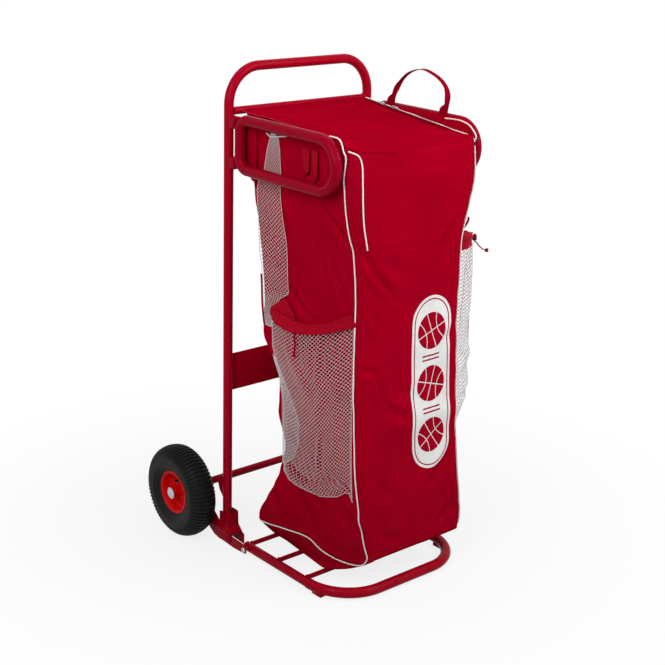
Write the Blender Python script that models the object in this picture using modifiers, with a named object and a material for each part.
"""A folding equipment trolley with a hanging fabric bag.

A bent tube frame stands on two air-filled wheels and on a toe that folds up. The bag hangs from
a cross tube and from two side hoops, and its base rests on the bars of the toe. Metres, Z up;
the front of the trolley faces -Y and the origin is on the floor under the middle of its outline.
"""
import math

import bmesh
import bpy
from mathutils import Euler, Vector

# Clearance between pieces that touch
GAP = 0.0003

# Upright frame
UPRIGHT_X = 0.2314
UPRIGHT_Y = 0.117
TUBE_R = 0.0125
FRAME_FOOT_Z = 0.030
TOP_BAR_Z = 1.3048
TOP_BEND_R = 0.092
CROSS_TUBE_Z = 1.1965
CROSS_TUBE_R = 0.010
PLATE_LOW_Z = 0.4482
PLATE_HIGH_Z = 0.5518
PLATE_T = 0.003

# Wheels and axle
WHEEL_R = 0.130
AXLE_Y = UPRIGHT_Y + 0.125
AXLE_Z = WHEEL_R
AXLE_R = 0.006
AXLE_TUBE_R = 0.0105
AXLE_END_X = 0.3345
TYRE_X = 0.2976
TYRE_HALF_W = 0.041
RIM_R = 0.0605
RIM_FACE_X = 0.3266
HUB_R = 0.014
TREAD_STEPS = 36

# Toe that folds up
PIVOT_Y = UPRIGHT_Y - 0.095
PIVOT_Z = 0.0185
RAIL_X = 0.2237
RAIL_R = 0.0125
TOE_FRONT_Y = UPRIGHT_Y - 0.475
BOW_START_Y = UPRIGHT_Y - 0.345
BOW_R = 0.014
BOW_FRONT_X = 0.2190
BOW_BEND_R = 0.128
BAR_R = 0.0065
BAR_Z = 0.0235
BAR_FIRST = 0.0075
BAR_STEP = 0.1195
FOOT_Y = UPRIGHT_Y - 0.382
PIVOT_BOLT_R = 0.004

# Hinge brackets and axle arms
CHEEK_T = 0.0025
BRACKET_IN_X = 0.2109 - GAP
BRACKET_OUT_X = UPRIGHT_X + TUBE_R + GAP
ARM_T = 0.0035
ARM_EDGE = 0.0145
ARM_X = BRACKET_OUT_X + CHEEK_T + GAP

# Side hoops that hold the bag open
HOOP_R = 0.014
HOOP_X = UPRIGHT_X
HOOP_REAR_Y = UPRIGHT_Y - 0.048
HOOP_FRONT_Y = UPRIGHT_Y - 0.417
HOOP_LOW_Z = 1.059
HOOP_HIGH_Z = 1.183
HOOP_BEND_R = 0.030

# Bag
CLOTH_T = 0.0025
RIM_BACK_Z = 1.196
RIM_FRONT_Z = 1.150
BAG_BACK_Y = UPRIGHT_Y - 0.014
BAG_FRONT_Y = UPRIGHT_Y - 0.440
SEAM_Z = 0.105
PIPING_R = 0.0025
LID_X = 0.205
LID_T = 0.003
LID_REAR_Y = UPRIGHT_Y - CROSS_TUBE_R - 0.0018
LID_FRONT_Y = UPRIGHT_Y - 0.449
LID_HINGE_Z = RIM_BACK_Z + PIPING_R + 3 * GAP
LID_TILT = math.atan2(RIM_BACK_Z - RIM_FRONT_Z, BAG_BACK_Y - BAG_FRONT_Y)

# Each row: height, front and back measured forward of the uprights, half widths at the front
# left, the front right and the back, and the corner radius
BAG_PROFILE = (
    (0.105, 0.476, 0.080, 0.126, 0.193, 0.192, 0.014),
    (0.113, 0.476, 0.080, 0.126, 0.193, 0.192, 0.014),
    (0.170, 0.473, 0.108, 0.139, 0.199, 0.188, 0.018),
    (0.250, 0.470, 0.152, 0.148, 0.194, 0.185, 0.022),
    (0.340, 0.466, 0.172, 0.156, 0.187, 0.184, 0.026),
    (0.430, 0.463, 0.134, 0.161, 0.178, 0.187, 0.028),
    (0.520, 0.461, 0.140, 0.164, 0.174, 0.187, 0.028),
    (0.640, 0.459, 0.072, 0.165, 0.170, 0.189, 0.028),
    (0.780, 0.456, 0.078, 0.167, 0.1675, 0.192, 0.028),
    (0.900, 0.455, 0.062, 0.173, 0.170, 0.196, 0.030),
    (1.000, 0.455, 0.043, 0.195, 0.197, 0.201, 0.035),
    (1.080, 0.457, 0.019, 0.205, 0.210, 0.203, 0.038),
    (1.160, 0.452, 0.014, 0.2105, 0.2105, 0.208, 0.045),
)
POCKET_REAR_Y = UPRIGHT_Y - 0.142
STRAND_T = 0.0016
NET_DROP = 0.0018
HEM_T = 0.003
HEM_H = 0.032
CORD_R = 0.0016
CORNER_STEPS = 4
SIDE_STEPS = 6
BACK_STEPS = 6


def material(name, colour, roughness, metallic=0.0):
    """A plain material with the piece's colour."""
    mat = bpy.data.materials.new(name)
    mat.use_nodes = True
    shader = mat.node_tree.nodes["Principled BSDF"]
    shader.inputs["Base Color"].default_value = (*colour, 1.0)
    shader.inputs["Roughness"].default_value = roughness
    shader.inputs["Metallic"].default_value = metallic
    return mat


def add(obj, mat, parent=None):
    """Puts an object in the trolley's collection with its material."""
    for collection in obj.users_collection:
        collection.objects.unlink(obj)
    PARTS.objects.link(obj)
    obj.data.materials.clear()
    obj.data.materials.append(mat)
    if parent is not None:
        obj.parent = parent
        obj.matrix_parent_inverse = parent.matrix_world.inverted()
    return obj


def empty(name, place):
    """A joint's origin, which moving pieces are parented to."""
    holder = bpy.data.objects.new(name, None)
    holder.location = place
    PARTS.objects.link(holder)
    bpy.context.view_layer.update()
    return holder


def smooth(mesh):
    mesh.shade_smooth()
    mesh.set_sharp_from_angle(angle=math.radians(35))


def bend(corner, before, after, radius, steps):
    """Points of a fillet arc that rounds the corner between two straight runs."""
    one = (before - corner).normalized()
    two = (after - corner).normalized()
    half = one.angle(two) / 2
    reach = radius / math.tan(half)
    centre = corner + (one + two).normalized() * (radius / math.sin(half))
    start = corner + one * reach - centre
    finish = corner + two * reach - centre
    sweep = start.angle(finish)
    points = []
    for i in range(steps + 1):
        share = i / steps
        a = math.sin((1 - share) * sweep) / math.sin(sweep)
        b = math.sin(share * sweep) / math.sin(sweep)
        points.append(centre + start * a + finish * b)
    return points


def rounded(corners, radii, steps, closed=False):
    """A route through the corners, with each inner corner filleted."""
    count = len(corners)
    route = []
    for i, corner in enumerate(corners):
        if not closed and i in (0, count - 1):
            route.append(corner)
            continue
        route += bend(corner, corners[i - 1], corners[(i + 1) % count], radii[i], steps)
    return route


def tube(name, route, radius, mat, closed=False, sides=4, parent=None):
    """A round tube along a route, with filled ends."""
    curve = bpy.data.curves.new(name, "CURVE")
    curve.dimensions = "3D"
    curve.bevel_depth = radius
    curve.bevel_resolution = sides
    curve.use_fill_caps = not closed
    line = curve.splines.new("POLY")
    line.points.add(len(route) - 1)
    for point, place in zip(line.points, route):
        point.co = (*place, 1.0)
    line.use_cyclic_u = closed
    line.use_smooth = True
    return add(bpy.data.objects.new(name, curve), mat, parent)


def plate(name, outlines, thickness, x, mat, parent=None):
    """A flat plate in the YZ plane, centred on x; later outlines are its holes."""
    curve = bpy.data.curves.new(name, "CURVE")
    curve.dimensions = "2D"
    curve.fill_mode = "BOTH"
    curve.extrude = thickness / 2
    for outline in outlines:
        line = curve.splines.new("POLY")
        line.points.add(len(outline) - 1)
        for point, (y, z) in zip(line.points, outline):
            point.co = (y, z, 0.0, 1.0)
        line.use_cyclic_u = True
    obj = bpy.data.objects.new(name, curve)
    obj.rotation_euler = Euler((math.pi / 2, 0.0, math.pi / 2))
    obj.location = (x, 0.0, 0.0)
    return add(obj, mat, parent)


def circle(y, z, radius, steps=16):
    turn = 2 * math.pi / steps
    return [(y + radius * math.cos(i * turn), z + radius * math.sin(i * turn)) for i in range(steps)]


def smooth_outline(corners, radius, steps=3):
    """A closed outline with all its corners rounded alike."""
    points = [Vector((y, z, 0.0)) for y, z in corners]
    route = rounded(points, [radius] * len(points), steps, closed=True)
    return [(p.x, p.y) for p in route]


def block(name, low, high, mat, bevel=0.0, parent=None):
    """A box between two corners."""
    bpy.ops.mesh.primitive_cube_add(size=1.0)
    obj = bpy.context.active_object
    obj.name = name
    obj.data.name = name
    low = Vector(low)
    high = Vector(high)
    obj.data.transform(scale_matrix(high - low))
    obj.location = (low + high) / 2
    if bevel:
        edge = obj.modifiers.new("Rounded edges", "BEVEL")
        edge.width = bevel
        edge.segments = 2
    return add(obj, mat, parent)


def scale_matrix(size):
    matrix = Euler((0.0, 0.0, 0.0)).to_matrix().to_4x4()
    for i in range(3):
        matrix[i][i] = size[i]
    return matrix


def turned(name, profile, place, outward, mat, steps=24, ring=True, parent=None):
    """A piece turned about the X direction; the profile holds (radius, distance outward)."""
    mesh = bpy.data.meshes.new(name)
    points = [(radius, 0.0, height) for radius, height in profile]
    edges = [(i, i + 1) for i in range(len(points) - 1)]
    if ring:
        edges.append((len(points) - 1, 0))
    mesh.from_pydata(points, edges, [])
    obj = bpy.data.objects.new(name, mesh)
    obj.rotation_euler = Euler((0.0, math.copysign(math.pi / 2, outward), 0.0))
    obj.location = place
    screw = obj.modifiers.new("Turned", "SCREW")
    screw.axis = "Z"
    screw.steps = steps
    screw.render_steps = steps
    screw.use_merge_vertices = True
    screw.merge_threshold = 0.00001
    screw.use_smooth_shade = True
    return add(obj, mat, parent)


def cylinder(name, start, finish, radius, mat, steps=20, parent=None):
    """A plain round bar between two points."""
    start = Vector(start)
    finish = Vector(finish)
    run = finish - start
    bpy.ops.mesh.primitive_cylinder_add(vertices=steps, radius=radius, depth=run.length)
    obj = bpy.context.active_object
    obj.name = name
    obj.data.name = name
    obj.rotation_mode = "QUATERNION"
    obj.rotation_quaternion = Vector((0.0, 0.0, 1.0)).rotation_difference(run)
    obj.location = (start + finish) / 2
    smooth(obj.data)
    return add(obj, mat, parent)


def cut(obj, cutter):
    """Takes the cutter's shape out of the object."""
    for collection in cutter.users_collection:
        collection.objects.unlink(cutter)
    CUTTERS.objects.link(cutter)
    cutter.hide_render = True
    cutter.display_type = "WIRE"
    step = obj.modifiers.new("Cut", "BOOLEAN")
    step.operation = "DIFFERENCE"
    step.solver = "EXACT"
    step.object = cutter


def join(obj, added):
    """Welds the added shape to the object."""
    cut(obj, added)
    obj.modifiers[-1].name = "Weld"
    obj.modifiers[-1].operation = "UNION"


def as_mesh(obj):
    """Turns a curve into a closed mesh, so that it can be cut."""
    bpy.context.view_layer.update()
    seen = obj.evaluated_get(bpy.context.evaluated_depsgraph_get())
    mesh = bpy.data.meshes.new_from_object(seen)
    work = bmesh.new()
    work.from_mesh(mesh)
    bmesh.ops.remove_doubles(work, verts=work.verts, dist=0.00001)
    bmesh.ops.recalc_face_normals(work, faces=work.faces)
    work.to_mesh(mesh)
    work.free()
    name = obj.name
    mat = obj.data.materials[0]
    place = obj.matrix_world.copy()
    parent = obj.parent
    bpy.data.objects.remove(obj)
    made = bpy.data.objects.new(name, mesh)
    made.matrix_world = place
    return add(made, mat, parent)


def frame_pieces():
    """The bent frame, its cross tube and the plate between the uprights."""
    y = UPRIGHT_Y
    corners = [
        Vector((-UPRIGHT_X, y, FRAME_FOOT_Z)),
        Vector((-UPRIGHT_X, y, TOP_BAR_Z)),
        Vector((UPRIGHT_X, y, TOP_BAR_Z)),
        Vector((UPRIGHT_X, y, FRAME_FOOT_Z)),
    ]
    frame = as_mesh(tube("main_frame", rounded(corners, [TOP_BEND_R] * 4, 8), TUBE_R, RED_PAINT))
    ear = [
        (y + 0.006, 0.120),
        (y + 0.014, 0.124),
        (y + 0.036, 0.150),
        (y + 0.043, 0.172),
        (y + 0.036, 0.190),
        (y + 0.006, 0.194),
    ]
    for side, sign in SIDES:
        lug = plate("frame_lug_" + side, [smooth_outline(ear, 0.004)], 0.004, sign * UPRIGHT_X, RED_PAINT)
        join(frame, as_mesh(lug))
    reach = UPRIGHT_X - TUBE_R - GAP
    cylinder("cross_tube", (-reach, y, CROSS_TUBE_Z), (reach, y, CROSS_TUBE_Z), CROSS_TUBE_R, RED_PAINT)
    low = (-reach, y - PLATE_T / 2, PLATE_LOW_Z)
    high = (reach, y + PLATE_T / 2, PLATE_HIGH_Z)
    block("middle_plate", low, high, RED_PAINT)


def axle_pieces():
    """The axle, the tube round it and the two arms that carry it."""
    inner = AXLE_R + GAP
    reach = ARM_X - GAP
    profile = [(inner, reach), (AXLE_TUBE_R, reach), (AXLE_TUBE_R, -reach), (inner, -reach)]
    turned("axle_tube", profile, (0.0, AXLE_Y, AXLE_Z), 1, RED_PAINT)
    start = (-AXLE_END_X, AXLE_Y, AXLE_Z)
    cylinder("axle_rod", start, (AXLE_END_X, AXLE_Y, AXLE_Z), AXLE_R, BARE_STEEL)
    corners = [
        (UPRIGHT_Y - 0.036, 0.036),
        (UPRIGHT_Y - 0.004, 0.054),
        (UPRIGHT_Y + 0.010, 0.064),
        (AXLE_Y - 0.015, AXLE_Z + ARM_EDGE),
        (AXLE_Y + 0.018, AXLE_Z + ARM_EDGE),
        (AXLE_Y + 0.018, AXLE_Z - 0.018),
        (UPRIGHT_Y + 0.066, 0.036),
        (UPRIGHT_Y + 0.050, 0.026),
        (UPRIGHT_Y + 0.034, 0.0165),
        (UPRIGHT_Y + 0.012, 0.012),
        (UPRIGHT_Y - 0.036, 0.014),
    ]
    hole = circle(AXLE_Y, AXLE_Z, inner)
    for side, sign in SIDES:
        x = sign * (ARM_X + ARM_T / 2)
        plate("axle_arm_" + side, [smooth_outline(corners, 0.004), hole], ARM_T, x, RED_PAINT)


def hinge_brackets():
    """Channel brackets that join each upright's foot to the toe."""
    corners = [
        (UPRIGHT_Y + 0.015, 0.010),
        (UPRIGHT_Y + 0.015, 0.096),
        (UPRIGHT_Y - 0.0195, 0.096),
        (UPRIGHT_Y - 0.0205, 0.058),
        (UPRIGHT_Y - 0.042, 0.036),
        (UPRIGHT_Y - 0.105, 0.033),
        (UPRIGHT_Y - 0.106, 0.009),
        (UPRIGHT_Y - 0.050, 0.006),
    ]
    width = BRACKET_OUT_X - BRACKET_IN_X
    for side, sign in SIDES:
        middle = sign * (BRACKET_OUT_X + BRACKET_IN_X) / 2
        outline = smooth_outline(corners, 0.006)
        body = plate("hinge_bracket_" + side, [outline], width + 2 * CHEEK_T, middle, RED_PAINT)
        body = as_mesh(body)
        half = width / 2
        back = (middle - half, UPRIGHT_Y - 0.0165, -0.01)
        pocket = block("bracket_pocket_" + side, back, (middle + half, UPRIGHT_Y + 0.05, 0.2), RED_PAINT)
        cut(body, pocket)
        front = (middle - half, UPRIGHT_Y - 0.130, -0.01)
        slot = block("bracket_slot_" + side, front, (middle + half, UPRIGHT_Y - 0.010, 0.040), RED_PAINT)
        cut(body, slot)
        edges = sorted((sign * (BRACKET_IN_X + 0.002), sign * (BRACKET_IN_X - 0.02)))
        low = (edges[0], UPRIGHT_Y - 0.130, -0.01)
        high = (edges[1], UPRIGHT_Y - 0.048, 0.2)
        inner = block("bracket_inner_" + side, low, high, RED_PAINT)
        cut(body, inner)
        start = (sign * (BRACKET_IN_X - 0.02), PIVOT_Y, PIVOT_Z)
        finish = (sign * (BRACKET_OUT_X + 0.02), PIVOT_Y, PIVOT_Z)
        hole = cylinder("bracket_hole_" + side, start, finish, PIVOT_BOLT_R + GAP, RED_PAINT, 16)
        cut(body, hole)
        bolt_out = BRACKET_OUT_X + CHEEK_T + GAP
        bolt_in = RAIL_X - RAIL_R + 0.001
        profile = [
            (0.0, bolt_out + 0.004),
            (0.0065, bolt_out + 0.003),
            (0.0075, bolt_out),
            (PIVOT_BOLT_R, bolt_out),
            (PIVOT_BOLT_R, bolt_in),
            (0.0, bolt_in),
        ]
        turned("pivot_bolt_" + side, profile, (0.0, PIVOT_Y, PIVOT_Z), sign, BARE_STEEL, 16, ring=False)
        head = ARM_X + ARM_T + GAP
        profile = [(0.0, head + 0.0035), (0.005, head + 0.0025), (0.006, head), (0.0, head)]
        place = (0.0, UPRIGHT_Y - 0.022, 0.025)
        turned("arm_bolt_" + side, profile, place, sign, BARE_STEEL, 12, ring=False)


def wheel(side, sign):
    """A ribbed air tyre on a pressed rim, with its cap and valve."""
    spin = empty("wheel_axis_" + side, (0.0, AXLE_Y, AXLE_Z))
    place = spin.location
    bore = AXLE_R + GAP
    hub_in = ARM_X + ARM_T + GAP
    hub_out = AXLE_END_X - 0.0035
    mid = TYRE_X
    rim = [
        (bore, hub_out),
        (HUB_R, hub_out),
        (HUB_R, mid + 0.002),
        (RIM_R - 0.0150, mid + 0.002),
        (RIM_R - 0.0115, mid + 0.006),
        (RIM_R - 0.0080, RIM_FACE_X - 0.0004),
        (RIM_R, RIM_FACE_X),
        (RIM_R, RIM_FACE_X - 0.0021),
        (RIM_R - 0.0055, RIM_FACE_X - 0.0041),
        (RIM_R - 0.0075, mid),
        (RIM_R - 0.0055, 2 * mid - RIM_FACE_X + 0.0041),
        (RIM_R, 2 * mid - RIM_FACE_X + 0.0021),
        (RIM_R, 2 * mid - RIM_FACE_X),
        (RIM_R - 0.0085, 2 * mid - RIM_FACE_X + 0.0004),
        (RIM_R - 0.0125, mid - 0.006),
        (RIM_R - 0.0145, mid - 0.002),
        (HUB_R, mid - 0.002),
        (HUB_R, hub_in),
        (bore, hub_in),
    ]
    turned("rim_" + side, rim, place, sign, RED_RIM, TREAD_STEPS, parent=spin)
    seat = RIM_R - 0.0053
    wall = WHEEL_R - seat
    face = RIM_FACE_X - mid
    bulge = TYRE_HALF_W - face
    shape = [
        (seat, face - 0.0054),
        (seat + 0.118 * wall, face - 0.0002),
        (seat + 0.305 * wall, face + 0.816 * bulge),
        (seat + 0.505 * wall, TYRE_HALF_W),
        (seat + 0.733 * wall, 0.922 * TYRE_HALF_W),
        (seat + 0.906 * wall, 0.673 * TYRE_HALF_W),
        (seat + 0.980 * wall, 0.317 * TYRE_HALF_W),
        (WHEEL_R, 0.0),
    ]
    outer = [(radius, mid + across) for radius, across in shape]
    inner = [(radius, mid - across) for radius, across in reversed(shape[:-1])]
    turned("tyre_" + side, outer + inner, place, sign, RUBBER, TREAD_STEPS, parent=spin)
    face = hub_out + GAP
    cap = [
        (0.0, AXLE_END_X + 0.004),
        (0.006, AXLE_END_X + 0.0035),
        (0.0120, AXLE_END_X + 0.0005),
        (0.0135, face),
        (bore, face),
        (bore, AXLE_END_X + GAP),
        (0.0, AXLE_END_X + GAP),
    ]
    turned("hub_cap_" + side, cap, place, sign, BARE_STEEL, 20, ring=False, parent=spin)
    foot = mid + 0.002 + GAP
    stem = [
        (0.0, foot + 0.022),
        (0.0030, foot + 0.022),
        (0.0042, foot + 0.020),
        (0.0042, foot + 0.010),
        (0.0055, foot + 0.009),
        (0.0060, foot),
        (0.0, foot),
    ]
    at = Vector((0.0, AXLE_Y - 0.004, AXLE_Z + 0.034))
    turned("valve_" + side, stem, at, sign, RUBBER, 12, ring=False, parent=spin)


def toe_pieces():
    """The loop that folds up: two side rails, three bars and a thicker front bow on feet."""
    hinge = empty("toe_axis", (0.0, PIVOT_Y, PIVOT_Z))
    for side, sign in SIDES:
        x = sign * RAIL_X
        back = PIVOT_Y + 0.016
        start = (x, back, PIVOT_Z)
        rail = cylinder("toe_rail_" + side, start, (x, BOW_START_Y + GAP / 2, PIVOT_Z), RAIL_R, RED_PAINT)
        rail.parent = hinge
        rail.matrix_parent_inverse = hinge.matrix_world.inverted()
        across = 0.03
        left = (x - across, PIVOT_Y, PIVOT_Z)
        hole = cylinder("rail_hole_" + side, left, (x + across, PIVOT_Y, PIVOT_Z), PIVOT_BOLT_R + GAP, RED_PAINT, 16)
        cut(rail, hole)
    begin = BOW_START_Y - GAP / 2
    corners = [
        Vector((-RAIL_X, begin - 0.005, PIVOT_Z)),
        Vector((-BOW_FRONT_X, TOE_FRONT_Y, PIVOT_Z)),
        Vector((BOW_FRONT_X, TOE_FRONT_Y, PIVOT_Z)),
        Vector((RAIL_X, begin - 0.005, PIVOT_Z)),
    ]
    route = [Vector((-RAIL_X, begin, PIVOT_Z))] + rounded(corners, [BOW_BEND_R] * 4, 8)
    route.append(Vector((RAIL_X, begin, PIVOT_Z)))
    tube("toe_bow", route, BOW_R, RED_PAINT, parent=hinge)
    reach = RAIL_X - RAIL_R - GAP
    for i in range(3):
        y = PIVOT_Y + BAR_FIRST - i * BAR_STEP
        bar = "toe_bar_%d" % (i + 1)
        cylinder(bar, (-reach, y, BAR_Z), (reach, y, BAR_Z), BAR_R, RED_PAINT, 16, parent=hinge)
    for side, sign in SIDES:
        x = sign * (RAIL_X - 0.0045)
        low = (x - 0.010, FOOT_Y - 0.018, 0.0)
        foot = block("toe_foot_" + side, low, (x + 0.010, FOOT_Y + 0.018, 0.010), RED_PAINT, 0.002, hinge)
        seat = as_mesh_copy("foot_seat_" + side, "toe_bow", GAP)
        cut(foot, seat)


def as_mesh_copy(name, source, swell):
    """A slightly larger copy of a tube, for cutting its seat."""
    curve = bpy.data.objects[source].data.copy()
    curve.bevel_depth = curve.bevel_depth + swell
    obj = bpy.data.objects.new(name, curve)
    obj.matrix_world = bpy.data.objects[source].matrix_world
    add(obj, RED_PAINT)
    return as_mesh(obj)


def hoop_pieces():
    """A round-ended loop of tube beside each top edge of the bag, on two blocks."""
    for side, sign in SIDES:
        x = sign * HOOP_X
        high = (HOOP_HIGH_Z - HOOP_LOW_Z) / 2
        corners = [
            Vector((x, HOOP_REAR_Y, HOOP_LOW_Z)),
            Vector((x, HOOP_REAR_Y, HOOP_HIGH_Z)),
            Vector((x, HOOP_FRONT_Y, HOOP_HIGH_Z)),
            Vector((x, HOOP_FRONT_Y, HOOP_LOW_Z)),
        ]
        bends = [HOOP_BEND_R, HOOP_BEND_R, high - 0.0005, high - 0.0005]
        tube("side_hoop_" + side, rounded(corners, bends, 6, closed=True), HOOP_R, RED_PAINT, closed=True)
        near = HOOP_REAR_Y - HOOP_BEND_R + math.sqrt((HOOP_BEND_R + HOOP_R) ** 2 - 0.004**2)
        back = UPRIGHT_Y - TUBE_R - GAP
        for level, z in (("low", HOOP_LOW_Z + 0.011), ("high", HOOP_HIGH_Z - 0.011)):
            low = (x - 0.009, near + GAP, z - 0.015)
            name = "hoop_block_%s_%s" % (level, side)
            block(name, low, (x + 0.009, back, z + 0.015), RED_PAINT, 0.001)


def ring(row):
    """The bag's outline at one height, counter-clockwise from the front left corner."""
    z, front, back, left, right, rear, radius = row
    corners = [
        Vector((-left, UPRIGHT_Y - front, 0.0)),
        Vector((right, UPRIGHT_Y - front, 0.0)),
        Vector((rear, UPRIGHT_Y - back, 0.0)),
        Vector((-rear, UPRIGHT_Y - back, 0.0)),
    ]
    runs = (SIDE_STEPS, SIDE_STEPS, BACK_STEPS, SIDE_STEPS)
    arcs = []
    for i, corner in enumerate(corners):
        arcs.append(bend(corner, corners[i - 1], corners[(i + 1) % 4], radius, CORNER_STEPS))
    points = []
    for i in range(4):
        points += arcs[i]
        start = arcs[i][-1]
        finish = arcs[(i + 1) % 4][0]
        for k in range(1, runs[i]):
            points.append(start.lerp(finish, k / runs[i]))
    return points


def rim_height(y):
    """Height of the bag's sloping top edge."""
    share = (BAG_BACK_Y - y) / (BAG_BACK_Y - BAG_FRONT_Y)
    return RIM_BACK_Z + (RIM_FRONT_Z - RIM_BACK_Z) * share


def bag_rings():
    """All the outlines of the bag's walls, from the base seam to the rim."""
    rings = []
    top = BAG_PROFILE[-1][0]
    for row in BAG_PROFILE:
        points = ring(row)
        for point in points:
            lift = max(0.0, row[0] - 0.9) / (top - 0.9)
            point.z = row[0] + (rim_height(point.y) - top) * lift
        rings.append(points)
    return rings


def inside(rows, thickness, level_row):
    """The inner side of a sheet whose rows close on themselves, one thickness in.

    The row that meets a seam is kept level, so that the two panels there lie face to face.
    """
    count = len(rows[0])
    inner = []
    for r, row in enumerate(rows):
        above = rows[min(r + 1, len(rows) - 1)]
        below = rows[max(r - 1, 0)]
        made = []
        for i, point in enumerate(row):
            along = row[(i + 1) % count] - row[(i - 1) % count]
            normal = along.cross(above[i] - below[i]).normalized()
            if r == level_row:
                normal = Vector((normal.x, normal.y, 0.0)).normalized()
            made.append(point - normal * thickness)
        inner.append(made)
    return inner


def sheet(name, outer, inner, mat, wrap=False, bottom=False):
    """A sewn panel: a closed sheet between rows of outer points and rows of inner points."""
    mesh = bpy.data.meshes.new(name)
    work = bmesh.new()
    out = [[work.verts.new(p) for p in row] for row in outer]
    back = [[work.verts.new(p) for p in row] for row in inner]
    count = len(out[0])
    last = count if wrap else count - 1
    for r in range(len(out) - 1):
        for i in range(last):
            k = (i + 1) % count
            work.faces.new((out[r][i], out[r][k], out[r + 1][k], out[r + 1][i]))
            work.faces.new((back[r][k], back[r][i], back[r + 1][i], back[r + 1][k]))
    for i in range(last):
        k = (i + 1) % count
        work.faces.new((out[-1][i], out[-1][k], back[-1][k], back[-1][i]))
        if not bottom:
            work.faces.new((out[0][k], out[0][i], back[0][i], back[0][k]))
    if bottom:
        work.faces.new(list(reversed(out[0])))
        work.faces.new(back[0])
    if not wrap:
        for r in range(len(out) - 1):
            work.faces.new((out[r][0], out[r + 1][0], back[r + 1][0], back[r][0]))
            work.faces.new((out[r + 1][-1], out[r][-1], back[r][-1], back[r + 1][-1]))
    work.to_mesh(mesh)
    work.free()
    smooth(mesh)
    return add(bpy.data.objects.new(name, mesh), mat)


def span(points, guide, first, last):
    """A stretch of an outline, drawn back by half a gap at each end of its guide."""
    count = len(points)
    picked = [points[i % count].copy() for i in range(first, last + 1)]
    start = guide[(first + 1) % count] - guide[(first - 1) % count]
    finish = guide[(last - 1) % count] - guide[(last + 1) % count]
    picked[0] += start.normalized() * GAP * 0.6
    picked[-1] += finish.normalized() * GAP * 0.6
    return picked


def outward(points, i):
    """The direction out of an outline at one of its points, level."""
    count = len(points)
    along = points[(i + 1) % count] - points[(i - 1) % count]
    return Vector((along.y, -along.x, 0.0)).normalized()


def landmarks():
    """Where the panels meet, as counts along the outline."""
    arc = CORNER_STEPS + 1
    front_end = arc + SIDE_STEPS - 1
    right_end = front_end + arc + SIDE_STEPS - 1
    back_end = right_end + arc + BACK_STEPS - 1
    return {
        "left_seam": 0,
        "front_left": CORNER_STEPS - 1,
        "front_right": front_end + 2,
        "right_seam": front_end + CORNER_STEPS,
        "right_back": right_end + 2,
        "left_back": back_end + 2,
        "count": back_end + arc + SIDE_STEPS - 1,
    }


def bag_pieces():
    """The bag's walls, base, lid, piping and zip."""
    rings = bag_rings()
    mark = landmarks()
    panels = (
        ("bag_front", mark["left_seam"], mark["right_seam"]),
        ("bag_side_right", mark["right_seam"], mark["right_back"]),
        ("bag_back", mark["right_back"], mark["left_back"]),
        ("bag_side_left", mark["left_back"], mark["count"]),
    )
    linings = inside(rings, CLOTH_T, 0)
    for name, first, last in panels:
        outer = [span(points, points, first, last) for points in rings]
        inner = [span(lining, points, first, last) for lining, points in zip(linings, rings)]
        for point in outer[0] + inner[0]:
            point.z += GAP
        sheet(name, outer, inner, RED_CLOTH)
    base_panel(rings[0])
    piping(rings, mark)
    lid_pieces()
    zip_pieces(rings, mark)


def base_panel(seam):
    """The bag's base, which sags from its seam and lies on the bars of the toe."""
    floor_z = BAR_Z + BAR_R + GAP
    flat = [
        Vector((-0.160, UPRIGHT_Y - 0.352, 0.0)),
        Vector((0.165, UPRIGHT_Y - 0.352, 0.0)),
        Vector((0.160, UPRIGHT_Y - 0.112, 0.0)),
        Vector((-0.130, UPRIGHT_Y - 0.100, 0.0)),
    ]
    runs = (SIDE_STEPS, SIDE_STEPS, BACK_STEPS, SIDE_STEPS)
    target = []
    arcs = [bend(c, flat[i - 1], flat[(i + 1) % 4], 0.035, CORNER_STEPS) for i, c in enumerate(flat)]
    for i in range(4):
        target += arcs[i]
        for k in range(1, runs[i]):
            target.append(arcs[i][-1].lerp(arcs[(i + 1) % 4][0], k / runs[i]))
    levels = 5
    rows = []
    for level in range(levels, -1, -1):
        inward = level / levels
        drop = inward + 0.10 * math.sin(inward * math.pi)
        row = []
        for edge, low in zip(seam, target):
            point = edge.lerp(low, inward)
            point.z = (SEAM_Z - GAP) + (floor_z - SEAM_Z + GAP) * drop
            row.append(point)
        rows.append(row)
    sheet("bag_base", rows, inside(rows, CLOTH_T, levels), RED_CLOTH, wrap=True, bottom=True)


def beside(rings, i, levels, away):
    """A route up the outside of the bag at one place along its outline."""
    route = []
    for level in levels:
        points = rings[level]
        route.append(points[i % len(points)] + outward(points, i % len(points)) * away)
    return route


def edge_top(rings, ends, away):
    """A route along the top of a side panel, a little below the rim."""
    route = []
    for k, i in enumerate(ends):
        place = rings[-1][i] + outward(rings[-1], i) * away
        place.z -= 0.006 + 0.004 * k
        route.append(place)
    return route


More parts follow.
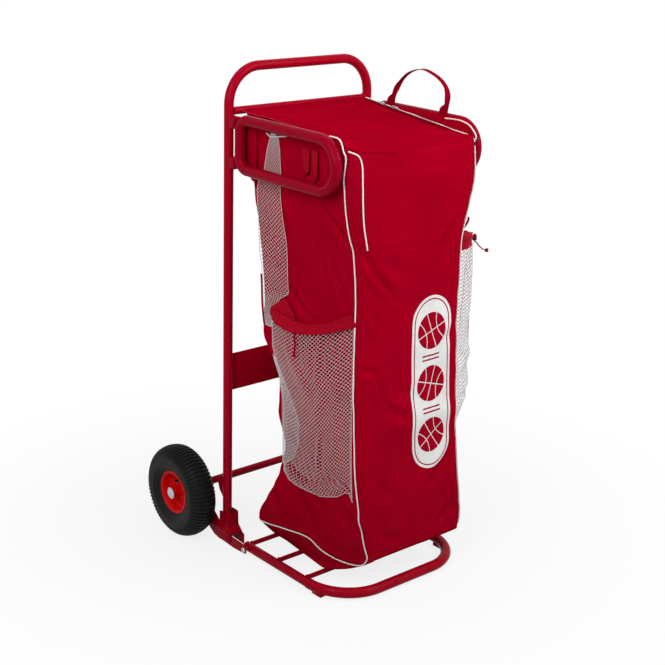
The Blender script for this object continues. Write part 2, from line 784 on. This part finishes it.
def piping(rings, mark):
    """White cord edging along the seams."""
    away = PIPING_R + 2 * GAP
    top = len(rings) - 1
    count = mark["count"]
    lower = []
    for i in range(mark["left_back"] + 2, count):
        points = rings[0]
        lower.append(points[i] + outward(points, i) * away)
    upright = beside(rings, 0, range(0, top + 1), away)
    upright[-1].z -= 0.006
    ends = [count - k for k in (1, 2, 3, 4)]
    tube("piping_side_left", lower + upright + edge_top(rings, ends, away), PIPING_R, WHITE_CORD, sides=2)
    lower = []
    for i in range(mark["right_back"] - 2, mark["right_seam"], -1):
        points = rings[0]
        lower.append(points[i] + outward(points, i) * away)
    upright = beside(rings, mark["right_seam"], range(0, top + 1), away)
    upright[-1].z -= 0.006
    ends = [mark["right_seam"] + 1]
    tube("piping_side_right", lower + upright + edge_top(rings, ends, away), PIPING_R, WHITE_CORD, sides=2)
    short = beside(rings, mark["front_left"], range(top - 3, top + 1), away)
    short[0] = short[0].lerp(short[1], 0.3)
    short[-1].z -= 0.004
    tube("piping_front_left", short, PIPING_R, WHITE_CORD, sides=2)
    tall = beside(rings, mark["front_right"], range(0, top + 1), away)
    tall[-1].z -= 0.004
    tube("piping_front_right", tall, PIPING_R, WHITE_CORD, sides=2)


def lid_point(x, forward, up=0.0):
    """A place on the sloping lid, measured forward from its hinge."""
    y = LID_REAR_Y - forward * math.cos(LID_TILT) - up * math.sin(LID_TILT)
    z = LID_HINGE_Z - forward * math.sin(LID_TILT) + up * math.cos(LID_TILT)
    return Vector((x, y, z))


def lid_pieces():
    """The top flap, hinged along the cross tube, and the edging on its two sides."""
    hinge = empty("lid_axis", (0.0, LID_REAR_Y, LID_HINGE_Z))
    length = LID_REAR_Y - LID_FRONT_Y
    corners = [
        Vector((-LID_X, 0.0, 0.0)),
        Vector((LID_X, 0.0, 0.0)),
        Vector((LID_X, -length, 0.0)),
        Vector((-LID_X, -length, 0.0)),
    ]
    route = rounded(corners, [0.030, 0.012, 0.042, 0.042], 5, closed=True)
    curve = bpy.data.curves.new("bag_lid", "CURVE")
    curve.dimensions = "2D"
    curve.fill_mode = "BOTH"
    curve.extrude = LID_T / 2
    line = curve.splines.new("POLY")
    line.points.add(len(route) - 1)
    for point, place in zip(line.points, route):
        point.co = (place.x, place.y, 0.0, 1.0)
    line.use_cyclic_u = True
    lid = bpy.data.objects.new("bag_lid", curve)
    lid.rotation_euler = Euler((LID_TILT, 0.0, 0.0))
    lid.location = hinge.location
    add(lid, RED_CLOTH, hinge)
    for side, sign in SIDES:
        x = sign * (LID_X + PIPING_R + GAP)
        steps = 12
        route = [lid_point(x, 0.02 + (length - 0.02 - 0.06) * i / steps) for i in range(steps + 1)]
        tube("piping_lid_" + side, route, PIPING_R, WHITE_CORD, sides=2, parent=hinge)


def zip_pieces(rings, mark):
    """The closed zip along the right top edge and its two sliders."""
    sit = LID_T / 2 + GAP
    x = LID_X - 0.008
    start = lid_point(x, 0.03, sit + 0.001)
    finish = lid_point(x, 0.34, sit + 0.001)
    run = finish - start
    bpy.ops.mesh.primitive_cube_add(size=1.0)
    tape = bpy.context.active_object
    tape.name = "zip_chain"
    tape.data.name = "zip_chain"
    tape.data.transform(scale_matrix(Vector((0.006, run.length, 0.002))))
    tape.rotation_euler = Euler((LID_TILT, 0.0, 0.0))
    tape.location = (start + finish) / 2
    add(tape, RED_CLOTH, bpy.data.objects["lid_axis"])
    for i, forward in enumerate((0.09, 0.13)):
        centre = lid_point(x, forward, sit + 0.002 + GAP + 0.0025)
        bpy.ops.mesh.primitive_cube_add(size=1.0)
        slider = bpy.context.active_object
        slider.name = "zip_slider_%d" % (i + 1)
        slider.data.name = slider.name
        slider.data.transform(scale_matrix(Vector((0.009, 0.014, 0.005))))
        slider.rotation_euler = Euler((LID_TILT, 0.0, 0.0))
        slider.location = centre
        edge = slider.modifiers.new("Rounded edges", "BEVEL")
        edge.width = 0.001
        edge.segments = 2
        add(slider, BARE_STEEL, bpy.data.objects["lid_axis"])


def strap(name, stations, width, thickness, mat):
    """Webbing swept along stations of (place, direction of its width)."""
    mesh = bpy.data.meshes.new(name)
    work = bmesh.new()
    rows = []
    for i, (place, across) in enumerate(stations):
        ahead = stations[min(i + 1, len(stations) - 1)][0]
        behind = stations[max(i - 1, 0)][0]
        along = (ahead - behind).normalized()
        wide = (across - along * across.dot(along)).normalized()
        up = wide.cross(along)
        half = wide * width / 2
        rise = up * thickness / 2
        corners = (place - half - rise, place + half - rise, place + half + rise, place - half + rise)
        rows.append([work.verts.new(c) for c in corners])
    for one, two in zip(rows, rows[1:]):
        for k in range(4):
            n = (k + 1) % 4
            work.faces.new((one[k], one[n], two[n], two[k]))
    work.faces.new(list(reversed(rows[0])))
    work.faces.new(rows[-1])
    bmesh.ops.recalc_face_normals(work, faces=work.faces)
    work.to_mesh(mesh)
    work.free()
    smooth(mesh)
    return add(bpy.data.objects.new(name, mesh), mat)


def through(points, k, share):
    """A place between two points of a row, on a smooth curve through them all."""
    last = len(points) - 1
    near = [points[max(0, min(last, k + step))] for step in (-1, 0, 1, 2)]
    place = []
    for a, b, c, d in zip(*near):
        turn = (2 * a - 5 * b + 4 * c - d) * share**2 + (3 * b - a - 3 * c + d) * share**3
        place.append(b + ((c - a) * share + turn) / 2)
    return place


def grab_handles():
    """A webbing loop that stands up on the right edge, and one that hangs down on the left."""
    seat = 0.0012 + 2 * GAP
    front = UPRIGHT_Y - 0.318
    back = UPRIGHT_Y - 0.122
    arch = [
        (back, 1.150),
        (back, 1.200),
        (back - 0.008, 1.238),
        (back - 0.024, 1.264),
        (back - 0.056, 1.287),
        (back - 0.101, 1.297),
        (back - 0.144, 1.287),
        (back - 0.174, 1.269),
        (back - 0.193, 1.245),
        (front - 0.003, 1.222),
        (front, 1.198),
        (front, 1.150),
    ]
    stations = []
    steps = 3
    for k in range(len(arch) - 1):
        for i in range(steps + (k == len(arch) - 2)):
            y, z = through(arch, k, i / steps)
            lift = min(1.0, max(0.0, (z - 1.215) / 0.05))
            turn = lift * math.pi / 2
            across = Vector((math.sin(turn), math.cos(turn), 0.0))
            wall = wall_x(1, y, min(z, 1.160))
            if z > 1.165:
                wall = max(wall, LID_X + 2 * PIPING_R + GAP)
            stations.append((Vector((wall + seat + 0.011 * lift, y, z)), across))
    strap("grab_handle_right", stations, 0.018, 0.0024, RED_CLOTH)
    stations = []
    steps = 20
    front = UPRIGHT_Y - 0.338
    back = UPRIGHT_Y - 0.214
    for i in range(steps + 1):
        swing = math.pi * i / steps
        y = (front + back) / 2 + math.cos(swing) * (back - front) / 2
        z = 1.138 - 0.058 * math.sin(swing)
        across = Vector((0.0, math.cos(swing), -math.sin(swing)))
        stations.append((Vector((wall_x(-1, y, z) - seat - GAP, y, z)), across))
    strap("grab_handle_left", stations, 0.018, 0.0024, RED_CLOTH)


def wall_x(sign, y, z):
    """How far out the bag's side wall is at a depth and a height."""
    for low, high in zip(BAG_PROFILE, BAG_PROFILE[1:]):
        if z <= high[0]:
            break
    share = min(1.0, (z - low[0]) / (high[0] - low[0]))
    mixed = [a + (b - a) * share for a, b in zip(low, high)]
    side = mixed[3] if sign < 0 else mixed[4]
    along = (UPRIGHT_Y - mixed[2] - y) / (mixed[1] - mixed[2])
    return sign * (mixed[5] + (side - mixed[5]) * along)


def net(name, place, columns, rows):
    """A net of square gaps; place gives a point for two shares, across and up."""
    mesh = bpy.data.meshes.new(name)
    work = bmesh.new()
    grid = []
    for r in range(rows + 1):
        grid.append([work.verts.new(place(c / columns, r / rows)) for c in range(columns + 1)])
    for r in range(rows):
        for c in range(columns):
            work.faces.new((grid[r][c], grid[r][c + 1], grid[r + 1][c + 1], grid[r + 1][c]))
    work.to_mesh(mesh)
    work.free()
    obj = add(bpy.data.objects.new(name, mesh), WHITE_NET)
    strands = obj.modifiers.new("Strands", "WIREFRAME")
    strands.thickness = STRAND_T
    strands.use_boundary = True
    strands.use_even_offset = False
    return obj


def left_mouth(u):
    """The lower edge of the left pocket's hem, from the back to the front seam."""
    y = POCKET_REAR_Y + (UPRIGHT_Y - 0.418 - POCKET_REAR_Y) * u
    z = 0.681 + 0.050 * max(0.0, u - 0.35) ** 1.5 / 0.65**1.5 - 0.012 * math.sin(math.pi * u)
    out = wall_x(-1, y, z + HEM_H) - 0.0032 - 0.034 * math.sin(math.pi * u**0.8)
    return Vector((out, y, z))


def right_mouth(u):
    """The lower edge of the right pocket's hem, from the front seam to the back."""
    front = UPRIGHT_Y - 0.417
    y = front + (POCKET_REAR_Y - front) * u
    z = 0.862
    out = wall_x(1, y, z + HEM_H) + 0.0020 + 0.098 * math.sin(math.pi * u**0.45)
    return Vector((out, y, z))


def left_net_point(u, v):
    """A place on the left pocket's net; it narrows and lies closer to the bag lower down."""
    top = left_mouth(u)
    low = 0.272
    z = low + (top.z - STRAND_T / 2 - NET_DROP - low) * v
    rear = POCKET_REAR_Y - 0.050 * min(1.0, (1 - v) * 1.6)
    y = rear + (top.y - POCKET_REAR_Y) / (UPRIGHT_Y - 0.418 - POCKET_REAR_Y) * (UPRIGHT_Y - 0.418 - rear)
    wall = wall_x(-1, y, z)
    bulge = (0.010 + 0.024 * v**2) * math.sin(math.pi * u**0.8)
    return Vector((wall - 0.0022 - bulge, y, z))


def right_net_point(u, v):
    """A place on the right pocket's net, which hangs out from the bag near its front."""
    top = right_mouth(u)
    low = 0.325
    z = low + (top.z - STRAND_T / 2 - 2 * GAP - low) * v
    wall = wall_x(1, top.y, z)
    belly = 0.102 * min(1.0, 0.25 + 3.6 * v) * (1 + 0.08 * math.sin(math.pi * v))
    bulge = belly * math.sin(math.pi * u**0.45)
    return Vector((wall + 0.0022 + bulge, top.y, z))


def strip_point(u, v):
    """A place on the net strip behind the left pocket, which hangs inside the hoop."""
    z = 0.660 + 0.475 * v
    rear = UPRIGHT_Y - 0.092 - 0.033 * min(1.0, max(0.0, (z - 1.05) / 0.10))
    width = 0.100 - 0.053 * min(1.0, max(0.0, (z - 0.96) / 0.18))
    width = 0.044 + (width - 0.044) * min(1.0, max(0.0, (z - 0.745) / 0.028))
    y = rear - width * u
    z_gap = GAP if z > 0.9 else 2 * GAP
    return Vector((wall_x(-1, y, z) - STRAND_T / 2 - z_gap, y, z))


def pocket_pieces():
    """The two net pockets with their hems, the loose net strip and the drawcords' ends."""
    net("net_left_rear", strip_point, 3, 16)
    net("net_left", left_net_point, 9, 9)
    net("net_right", right_net_point, 9, 9)
    up = Vector((0.0, 0.0, 1.0))
    steps = 9
    for name, mouth in (("hem_left", left_mouth), ("hem_right", right_mouth)):
        stations = [(mouth(i / steps) + up * HEM_H / 2, up) for i in range(steps + 1)]
        strap(name, stations, HEM_H, HEM_T, RED_CLOTH)
    share = 1 / 9
    spot = right_mouth(share) + up * (HEM_H / 2 + 0.004)
    along = (right_mouth(share + 0.01) - right_mouth(share - 0.01)).normalized()
    out = Vector((-along.y, along.x, 0.0)) * (1 if along.y > 0 else -1)
    if out.x < 0:
        out = -out
    middle = spot + out * (HEM_T / 2 + 0.0063 + GAP)
    low = middle - up * 0.0085
    cylinder("cord_lock_right", low, middle + up * 0.0085, 0.006, RED_PAINT, 16)
    start = low - up * (CORD_R + GAP)
    route = [start, start + out * 0.006 - up * 0.004]
    for i in range(1, 11):
        route.append(start + out * (0.006 + 0.0030 * i) - up * (0.004 + 0.0042 * i - 0.00021 * i * i))
    tube("cord_tail_right", route, CORD_R, RED_CLOTH, sides=2)
    spot = left_mouth(0.44)
    start = spot + Vector((-(HEM_T / 2 + 0.0026 + GAP), 0.0, 0.010))
    route = [start + Vector((-0.0006 * math.sin(i * 0.9), 0.0012 * math.sin(i * 0.7), -0.0058 * i)) for i in range(12)]
    tube("cord_tail_left", route, 0.0025, RED_CLOTH, sides=2)


def build():
    frame_pieces()
    axle_pieces()
    hinge_brackets()
    for side, sign in SIDES:
        wheel(side, sign)
    toe_pieces()
    hoop_pieces()
    bag_pieces()
    grab_handles()
    pocket_pieces()


for old in list(bpy.data.objects):
    bpy.data.objects.remove(old)

PARTS = bpy.data.collections.new("equipment_trolley")
CUTTERS = bpy.data.collections.new("cutters")
bpy.context.scene.collection.children.link(PARTS)
bpy.context.scene.collection.children.link(CUTTERS)
SIDES = (("left", -1), ("right", 1))

RED_PAINT = material("red_paint", (0.37, 0.0, 0.012), 0.35)
RED_RIM = material("red_rim", (0.60, 0.0, 0.0), 0.3)
RED_CLOTH = material("red_cloth", (0.36, 0.0, 0.012), 0.75)
WHITE_CORD = material("white_cord", (0.80, 0.77, 0.74), 0.6)
WHITE_NET = material("white_net", (0.78, 0.78, 0.77), 0.7)
BARE_STEEL = material("bare_steel", (0.55, 0.56, 0.56), 0.35, 1.0)
RUBBER = material("rubber", (0.012, 0.012, 0.011), 0.8)

build()
